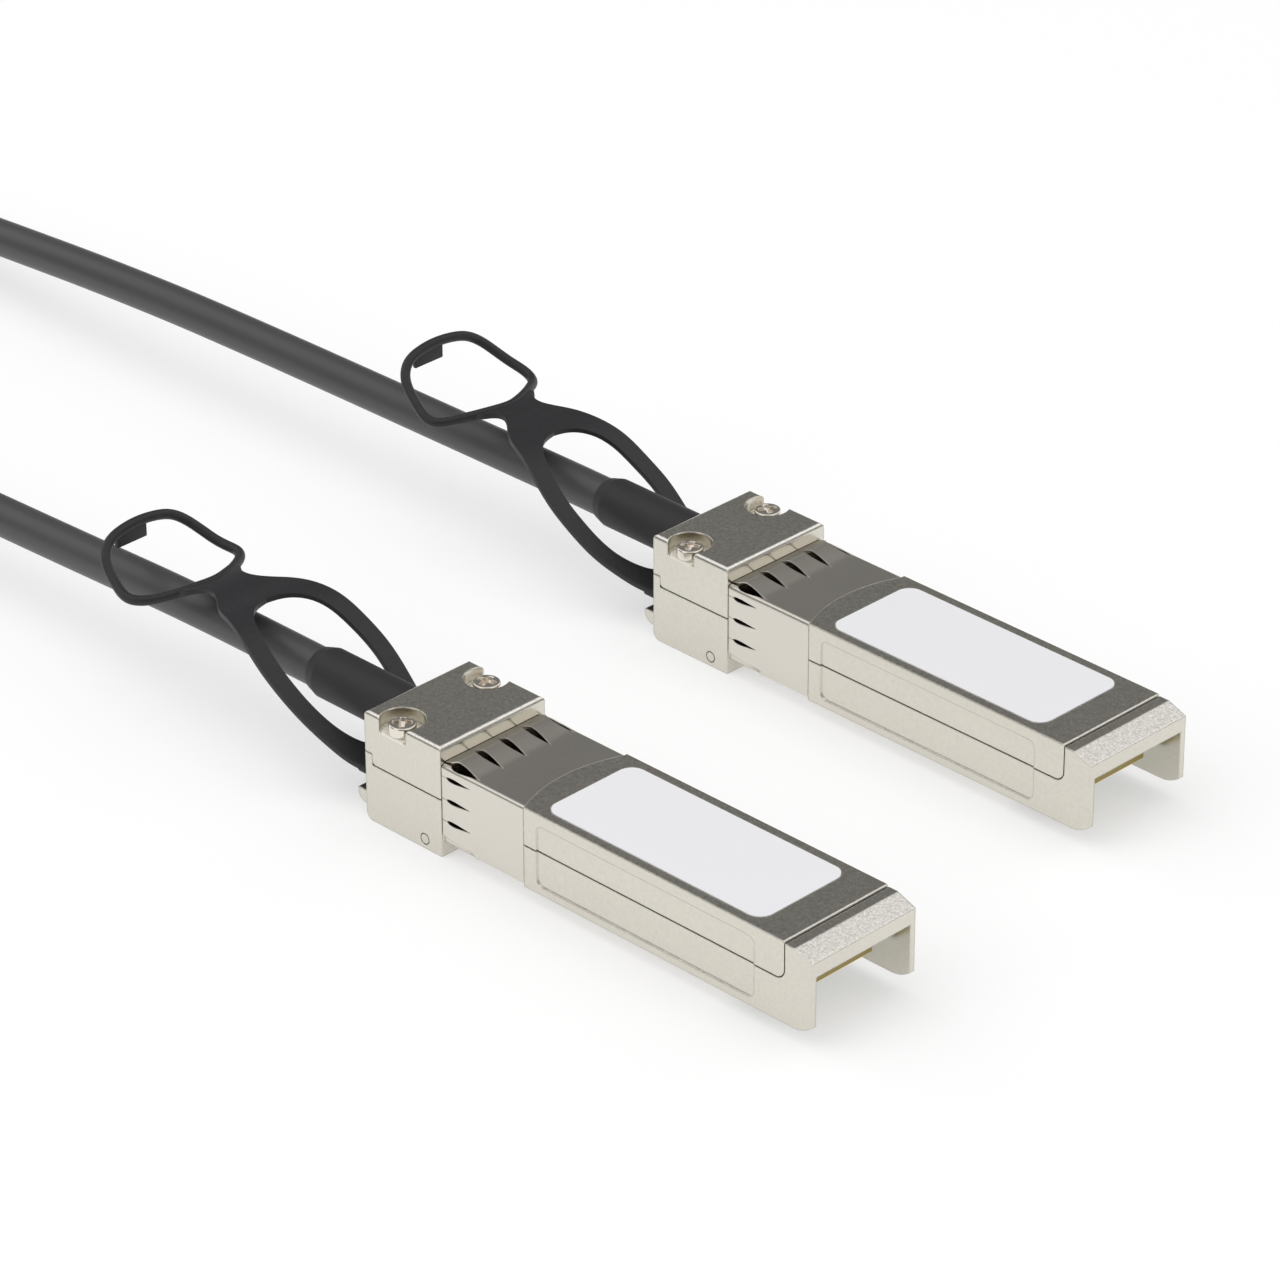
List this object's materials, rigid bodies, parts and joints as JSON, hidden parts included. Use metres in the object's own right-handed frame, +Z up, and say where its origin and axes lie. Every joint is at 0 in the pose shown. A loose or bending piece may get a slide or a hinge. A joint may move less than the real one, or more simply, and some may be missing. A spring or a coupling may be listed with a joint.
{
  "type": "direct attach copper cable",
  "caption": "Twinax copper cable with a metal pluggable module on each end and looped soft pull tabs that release the latches under the modules.",
  "frame": {"origin": "on the table, under the middle of the box round the two plugs with their sleeves and pull tabs", "axes": "+X along the first plug toward its nose, +Y from the first plug to the second, +Z up"},
  "size_m": [0.2662, 0.0599, 0.0196],
  "materials": {
    "shell_metal": "die-cast zinc with a fine-grained satin nickel plating",
    "spring_metal": "bright thin spring strip",
    "stamped_steel": "plain stamped sheet",
    "pin_steel": "smooth ground pin",
    "screw_steel": "bright plated screw",
    "ferrule_metal": "plain crimped ring",
    "board": "epoxy glass board with green solder mask",
    "gold": "gold-plated contacts",
    "chip": "moulded chip package",
    "pair_foil": "foil-wrapped wire pair",
    "sleeve": "dull heat-shrink tubing",
    "label": "smooth white film",
    "tab": "soft moulded satin plastic",
    "cable_jacket": "smooth jacket with a soft sheen"
  },
  "bodies": {
    "plugs_and_cable": {"bottom_shell_a": "shell_metal", "top_shell_a": "shell_metal", "emi_collar_a": "spring_metal", "paddle_card_a": "board", "contact_pads_top_a": "gold", "contact_pads_bottom_a": "gold", "memory_chip_a": "chip", "twinax_pair_send_a": "pair_foil", "twinax_pair_receive_a": "pair_foil", "crimp_ferrule_a": "ferrule_metal", "heat_shrink_sleeve_a": "sleeve", "pivot_pin_a": "pin_steel", "latch_spring_a": "spring_metal", "screw_near_a": "screw_steel", "screw_far_a": "screw_steel", "label_a": "label", "bottom_shell_b": "shell_metal", "top_shell_b": "shell_metal", "emi_collar_b": "spring_metal", "paddle_card_b": "board", "contact_pads_top_b": "gold", "contact_pads_bottom_b": "gold", "memory_chip_b": "chip", "twinax_pair_send_b": "pair_foil", "twinax_pair_receive_b": "pair_foil", "crimp_ferrule_b": "ferrule_metal", "heat_shrink_sleeve_b": "sleeve", "pivot_pin_b": "pin_steel", "latch_spring_b": "spring_metal", "screw_near_b": "screw_steel", "screw_far_b": "screw_steel", "label_b": "label", "cable_lead_a": "cable_jacket", "cable_coil": "cable_jacket", "cable_lead_b": "cable_jacket"},
    "pull_a": {"pull_tab_a": "tab", "latch_slide_a": "stamped_steel"},
    "latch_a": {"latch_lever_a": "stamped_steel"},
    "pull_b": {"pull_tab_b": "tab", "latch_slide_b": "stamped_steel"},
    "latch_b": {"latch_lever_b": "stamped_steel"}
  },
  "joints": [
    {"name": "tab_pull_a", "type": "slide", "parent": "plugs_and_cable", "child": "pull_a", "axis": [-1, 0, 0], "range_m": [0, 0.0025], "stiffness_N_per_m": 400, "springref_m": -0.004},
    {"name": "latch_tip_a", "type": "hinge", "parent": "plugs_and_cable", "child": "latch_a", "pos_m": [0.00082, -0.02211, 0.00105], "axis": [0, -1, 0], "range_deg": [0, 6.6], "deforming": ["latch_spring_a"]},
    {"name": "tab_pull_b", "type": "slide", "parent": "plugs_and_cable", "child": "pull_b", "axis": [-1, 0.0087, 0], "range_m": [0, 0.0025], "stiffness_N_per_m": 400, "springref_m": -0.004},
    {"name": "latch_tip_b", "type": "hinge", "parent": "plugs_and_cable", "child": "latch_b", "pos_m": [-0.00417, 0.02171, 0.00105], "axis": [-0.0087, -1, 0], "range_deg": [0, 6.6], "deforming": ["latch_spring_b"]}
  ],
  "couplings": [
    {"joint": "latch_tip_a", "follows": "tab_pull_a", "rad_per_m": 46},
    {"joint": "latch_tip_b", "follows": "tab_pull_b", "rad_per_m": 46}
  ]
}
